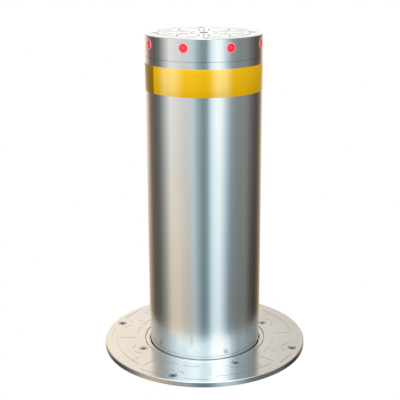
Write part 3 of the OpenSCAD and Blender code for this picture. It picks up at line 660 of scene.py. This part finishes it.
# %% Make the lamps
DOME_RINGS = (0.0, 0.2, 0.4, 0.6, 0.8, 0.93, 1.0)
BULGE_MM = 0.5
lens_outline = [(LAMP_RADIUS_MM * share, BULGE_MM * (1 - share ** 2)) for share in DOME_RINGS]
lens_outline += [(LAMP_RADIUS_MM, -6), (0, -6)]
GLOW_RING = [(0.05, -1), (0.05, 0.3), (0.5, 0.45), (1.3, 0.3), (1.9, -0.1), (1.9, -1)]   # mm out, mm up
glow_outline = [(LAMP_RADIUS_MM + out, up) for out, up in GLOW_RING]
lenses, glows = bmesh.new(), bmesh.new()
from_centre = {}
for shape in (lenses, glows):
    from_centre[shape] = shape.verts.layers.float.new("from_centre")
for centre in solid_centres("lamp_lenses"):
    outward = Vector((centre.x, centre.y, 0)).normalized()
    seat = Matrix.Translation(outward * post_radius + Vector((0, 0, centre.z)))
    seat = seat @ outward.to_track_quat("Z", "Y").to_matrix().to_4x4()
    for shape, outline in ((lenses, lens_outline), (glows, glow_outline)):
        known = set(shape.verts)
        add_turned(shape, outline, seat, steps=40)
        for vertex in shape.verts:
            if vertex not in known:
                local = seat.inverted() @ vertex.co
                vertex[from_centre[shape]] = local.xy.length / (LAMP_RADIUS_MM * MM)
make_piece("lit_lenses", lenses, "lamp_lenses", finishes["red_lens"], stands_for=["lamp_lenses"])
make_piece("lamp_glow_rings", glows, "lamp_lenses", finishes["glow_ring"])

# %% [markdown]
# ## Sheeting with an overlap
# The band is one strip of sheeting, wrapped round the tube and cut a little long. Its end lies over
# its start on the left. The strip's long edges are pressed down, so they are slightly rounded. A strip
# with its own thickness catches a thin line of light along those edges.

# %% Make the band
band_low, band_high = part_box("reflective_band")
band_r, inside = band_high.x / MM, post_radius / MM
band_bottom, band_top = band_low.z / MM, band_high.z / MM
strip = [(inside, band_bottom), (band_r - 0.25, band_bottom), (band_r, band_bottom + 0.5),
         (band_r, band_top - 0.5), (band_r - 0.25, band_top), (inside, band_top)]
band = bmesh.new()
add_turned(band, strip, steps=256)
make_piece("sheeting_strip", band, "reflective_band", stands_for=["reflective_band"])

END_T = 0.12
OVERLAP_FROM, OVERLAP_TURN = math.radians(162), math.radians(53)
end = bmesh.new()
over_it = [(radius + END_T if radius > inside else band_r - 0.3, height) for radius, height in strip]
add_turned(end, over_it, Matrix.Rotation(OVERLAP_FROM, 4, "Z"), steps=36, sweep=OVERLAP_TURN)
# The overlap wears the darker copy of the sheeting, which is painted shade.
make_piece("sheeting_overlap", end, "reflective_band", finishes["shaded_sheeting_end"])

# %% [markdown]
# ## Flange screws
# The four outer screws hold the flange to the casing and are blackened. The four inner ones hold the
# guide housing and are zinc plated, so they are much lighter. Each has a flat countersunk head with a
# narrow bevel and a six-sided socket with a drill cone at its bottom. The head's rim lies just below
# the flange's face. Tyres and rain pack dirt into the sockets nearly to the top, so each one also gets
# a plug of dirt.

# %% Make the screws
screw_centres = solid_centres("flange_screws")
spread = sorted(centre.xy.length for centre in screw_centres)
between_circles = (spread[0] + spread[-1]) / 2
HEAD_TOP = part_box("flange_screws")[1].z
HEAD_R_MM, SHANK_R_MM, SOCKET_R_MM, SOCKET_MM = 7.9, 4, 3.8, 3.6


def add_screw(shape, centre, bottom):
    """A countersunk screw: a turned head and shank, with the socket's walls as a six-sided ring."""
    seat = Matrix.Translation((centre.x, centre.y, HEAD_TOP))
    deep = (bottom - HEAD_TOP) / MM
    outline = [(0, 0), (HEAD_R_MM - 0.3, 0), (HEAD_R_MM, -0.3), (SHANK_R_MM, -4.2),
               (SHANK_R_MM, deep + 0.8), (SHANK_R_MM - 0.8, deep), (0, deep)]
    rings = []
    for step in range(48):
        angle = math.tau * step / 48
        flat = SOCKET_R_MM * math.cos(math.pi / 6) / math.cos((angle % (math.pi / 3)) - math.pi / 6)
        ring = [(0, -SOCKET_MM - 1), (flat * 0.9, -SOCKET_MM), (flat, -0.2), (flat + 0.2, 0)] + outline[1:]
        rings.append([shape.verts.new(seat @ Vector((r * MM * math.cos(angle), r * MM * math.sin(angle),
                                                     h * MM))) for r, h in ring])
    join_rings(shape, rings)


outer_screws, inner_screws, dirt_and_shade = bmesh.new(), bmesh.new(), bmesh.new()
for centre in screw_centres:
    outer = centre.xy.length > between_circles
    add_screw(outer_screws if outer else inner_screws, centre, 2 * centre.z - HEAD_TOP)
    add_turned(dirt_and_shade, [(0, -0.9), (1.5, -0.8), (3.0, -0.6), (SOCKET_R_MM, -0.4), (SOCKET_R_MM, -2), (0, -2)],
               Matrix.Translation((centre.x, centre.y, HEAD_TOP)), steps=6)
make_piece("outer_flange_screws", outer_screws, "flange_screws", finishes["outer_screws"],
           stands_for=["flange_screws"])
make_piece("inner_flange_screws", inner_screws, "flange_screws", finishes["inner_screws"])
make_piece("socket_dirt", dirt_and_shade, "flange_screws", finishes["street_dirt"])

# %% [markdown]
# ## Welds
# The casing is a rolled tube. A ring is welded on at the top and a plate at the bottom, with a fillet
# all the way round. Every fillet weld is a row of small ripples, one for each pulse of the torch. The
# drain and conduit sockets and the ends of the anchor bars are welded in the same way.

# %% Lay the weld beads
casing_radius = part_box("casing_tube")[1].x
floor_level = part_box("casing_tube")[0].z
flange_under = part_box("casing_top_flange")[0].z
UP = Vector((0, 0, 1))


def circle(centre, radius, steps):
    """Points round a level circle, in metres."""
    return [centre + radius * Vector((math.cos(a), math.sin(a), 0))
            for a in (math.tau * step / steps for step in range(steps))]


welds = bmesh.new()
for level in (flange_under, floor_level):
    add_bead(welds, circle(Vector((0, 0, level)), casing_radius, 800), UP, 4)
drain_low, drain_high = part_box("drain_socket")
drain_middle = (drain_low + drain_high) / 2
drain_middle.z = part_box("casing_base")[0].z
add_bead(welds, circle(drain_middle, (drain_high.x - drain_low.x) / 2, 160), UP, 3)
conduit_low, conduit_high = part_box("conduit_socket")
conduit_radius = (conduit_high.y - conduit_low.y) / 2
saddle = []
for turn in (math.tau * step / 140 for step in range(140)):
    across = conduit_radius * math.cos(turn)
    saddle.append(Vector((math.sqrt(casing_radius ** 2 - across ** 2), across,
                          (conduit_low.z + conduit_high.z) / 2 + conduit_radius * math.sin(turn))))
add_bead(welds, saddle, Vector((1, 0, 0)), 3)
bar_low, bar_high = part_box("anchor_bars")
bar_centres = solid_centres("anchor_bars")
BAR_RADIUS_MM = 6
for centre in bar_centres:
    for level in (bar_low.z, bar_high.z):
        foot = Vector((centre.x, centre.y, level))
        add_bead(welds, circle(foot, BAR_RADIUS_MM * MM, 40), UP, 2)
make_piece("weld_beads", welds, "casing_tube")

# %% [markdown]
# ## Ribbed anchor bars
# Reinforcing bar has slanted ribs rolled into it, so that the concrete grips it. Here the ribs are
# 8 mm apart. A plain round bar would lose that, so each bar is turned from an outline that steps in
# and out, and the turning leans, which slants every rib.

# %% Make the anchor bars
RIB_PITCH_MM = 8
ribbed = []
height = bar_low.z / MM
while height < bar_high.z / MM - RIB_PITCH_MM:
    ribbed += [(BAR_RADIUS_MM - 0.5, height + 2), (BAR_RADIUS_MM - 0.5, height + 5),
               (BAR_RADIUS_MM, height + 6), (BAR_RADIUS_MM, height + 7)]
    height += RIB_PITCH_MM
ribbed = [(0, bar_low.z / MM), (BAR_RADIUS_MM - 0.5, bar_low.z / MM)] + ribbed
ribbed += [(BAR_RADIUS_MM - 0.5, bar_high.z / MM), (0, bar_high.z / MM)]
bars = bmesh.new()
for centre in bar_centres:
    add_turned(bars, ribbed, Matrix.Translation((centre.x, centre.y, 0)), steps=12, slant=0.8)
make_piece("ribbed_bars", bars, "anchor_bars", stands_for=["anchor_bars"])

# %% [markdown]
# ## Cooling fins on the pump motor
# The motor stands in still air inside the post, so its cast housing has upright fins all the way
# round to shed heat. Each fin is a thin plate that narrows towards its edge, because a casting needs
# draft to leave its mould. They start just inside the housing, so that they grow out of it.

# %% Make the fins
motor_low, motor_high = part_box("motor_housing")
motor_middle = (motor_low + motor_high) / 2
motor_radius = (motor_high.x - motor_low.x) / 2
FIN_COUNT, FIN_OUT_MM, FIN_SUNK_MM, FIN_ROUND_MM = 28, 3, 0.5, 0.3
FIN_ROOT_MM, FIN_EDGE_MM, FIN_END_MM = 2.6, 1.6, 14
root_x, edge_x = motor_radius - FIN_SUNK_MM * MM, motor_radius + FIN_OUT_MM * MM
root_y, edge_y = FIN_ROOT_MM / 2 * MM, FIN_EDGE_MM / 2 * MM
fin_outline = [(root_x, root_y), (edge_x, edge_y), (edge_x, -edge_y), (root_x, -root_y)]
fins = bmesh.new()
for number in range(FIN_COUNT):
    spin = Matrix.Translation((motor_middle.x, motor_middle.y, 0))
    spin = spin @ Matrix.Rotation(math.tau * number / FIN_COUNT, 4, "Z")
    rings = []
    for level in (motor_low.z + FIN_END_MM * MM, motor_high.z - FIN_END_MM * MM):
        rings.append([fins.verts.new(spin @ Vector((x, y, level))) for x, y in fin_outline])
    join_rings(fins, rings, closed=False)
bmesh.ops.bevel(fins, geom=fins.edges[:], offset=FIN_ROUND_MM * MM, segments=2, affect="EDGES")
make_piece("motor_fins", fins, "motor_housing")
